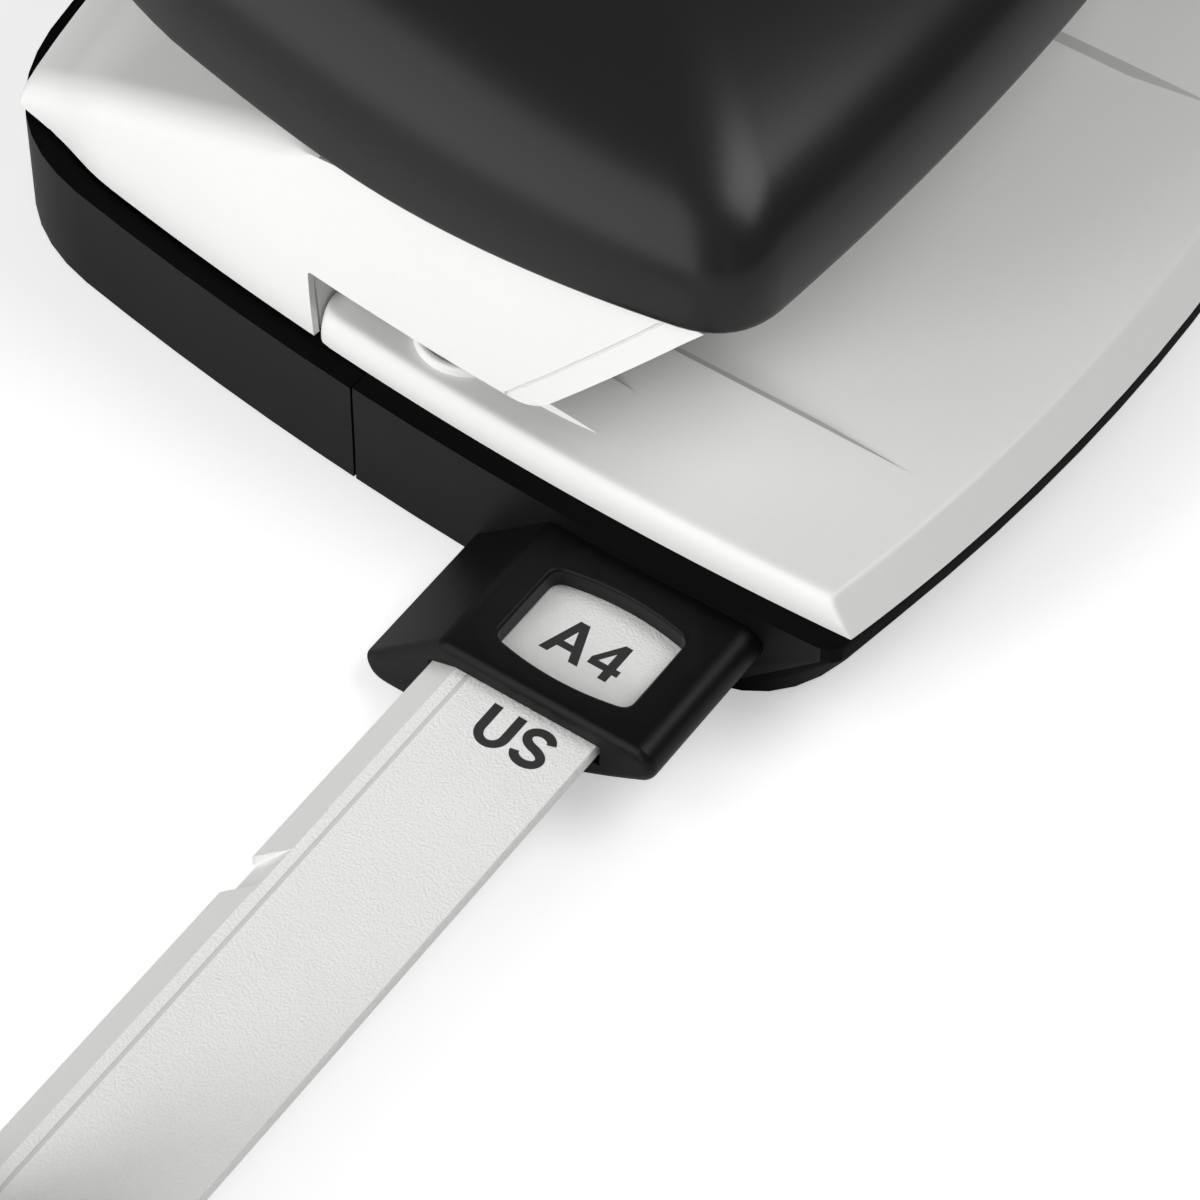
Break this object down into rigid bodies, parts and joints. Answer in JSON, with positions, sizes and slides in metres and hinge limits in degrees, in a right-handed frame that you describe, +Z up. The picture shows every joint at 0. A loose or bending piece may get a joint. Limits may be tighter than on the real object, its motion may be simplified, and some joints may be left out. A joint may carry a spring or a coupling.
{
  "type": "two-hole paper punch",
  "caption": "Desktop two-hole paper punch with a domed press handle, sprung punch pins, a pull-out format guide bar with a window, and a chip drawer.",
  "frame": {"origin": "middle of the footprint on the table", "axes": "+Z up, paper enters from -Y, guide bar pulls out towards -X"},
  "size_m": [0.2029, 0.1209, 0.0694],
  "materials": {
    "base_plastic": "fine matte",
    "window_plastic": "soft-touch matte",
    "rubber": "matte",
    "white_paint": "satin white paint",
    "handle_plastic": "satin gloss",
    "bush_brass": "machined",
    "die_steel": "ground",
    "bar_plastic": "fine grain",
    "spring_steel": "drawn wire",
    "dark_steel": "blackened",
    "steel": "zinc plated"
  },
  "bodies": {
    "frame": {"base_front": "base_plastic", "deck_plate": "white_paint", "upper_body": "white_paint", "punch_carrier": "steel", "roof_posts": "steel", "post_rivets": "steel", "die_left": "die_steel", "die_right": "die_steel", "guide_bush_left": "bush_brass", "guide_bush_right": "bush_brass", "pin_spring_left": "spring_steel", "pin_spring_right": "spring_steel", "pivot_pin": "steel", "pivot_clips": "dark_steel", "window_housing": "window_plastic", "detent_spring": "spring_steel", "base_screws": "dark_steel", "base_feet": "rubber"},
    "handle": {"handle_shell": "handle_plastic", "lever_plate": "steel", "press_bar": "steel", "lever_posts": "handle_plastic", "lever_screws": "dark_steel"},
    "pin_left": {"punch_pin_left": "steel", "pin_clip_left": "dark_steel"},
    "pin_right": {"punch_pin_right": "steel", "pin_clip_right": "dark_steel"},
    "guide": {"guide_bar": "bar_plastic", "bar_end_stop": "base_plastic"},
    "drawer": {"chip_drawer": "base_plastic", "drawer_feet": "rubber"}
  },
  "joints": [
    {"name": "handle_pivot", "type": "hinge", "parent": "frame", "child": "handle", "pos_m": [0, -0.024, 0.042], "axis": [-1, 0, 0], "range_deg": [0, 18], "stiffness_Nm_per_rad": 0.6, "springref_deg": -20.05},
    {"name": "pin_left_slide", "type": "slide", "parent": "frame", "child": "pin_left", "axis": [0, 0, -1], "range_m": [0, 0.0068], "deforming": ["pin_spring_left"]},
    {"name": "pin_right_slide", "type": "slide", "parent": "frame", "child": "pin_right", "axis": [0, 0, -1], "range_m": [0, 0.0068], "deforming": ["pin_spring_right"]},
    {"name": "guide_slide", "type": "slide", "parent": "frame", "child": "guide", "axis": [1, 0, 0], "range_m": [-0.012, 0.074]},
    {"name": "drawer_slide", "type": "slide", "parent": "frame", "child": "drawer", "axis": [0, 1, 0], "range_m": [0, 0.055]}
  ],
  "couplings": [
    {"joint": "pin_left_slide", "follows": "handle_pivot", "m_per_rad": 0.021174},
    {"joint": "pin_right_slide", "follows": "handle_pivot", "m_per_rad": 0.021174}
  ]
}
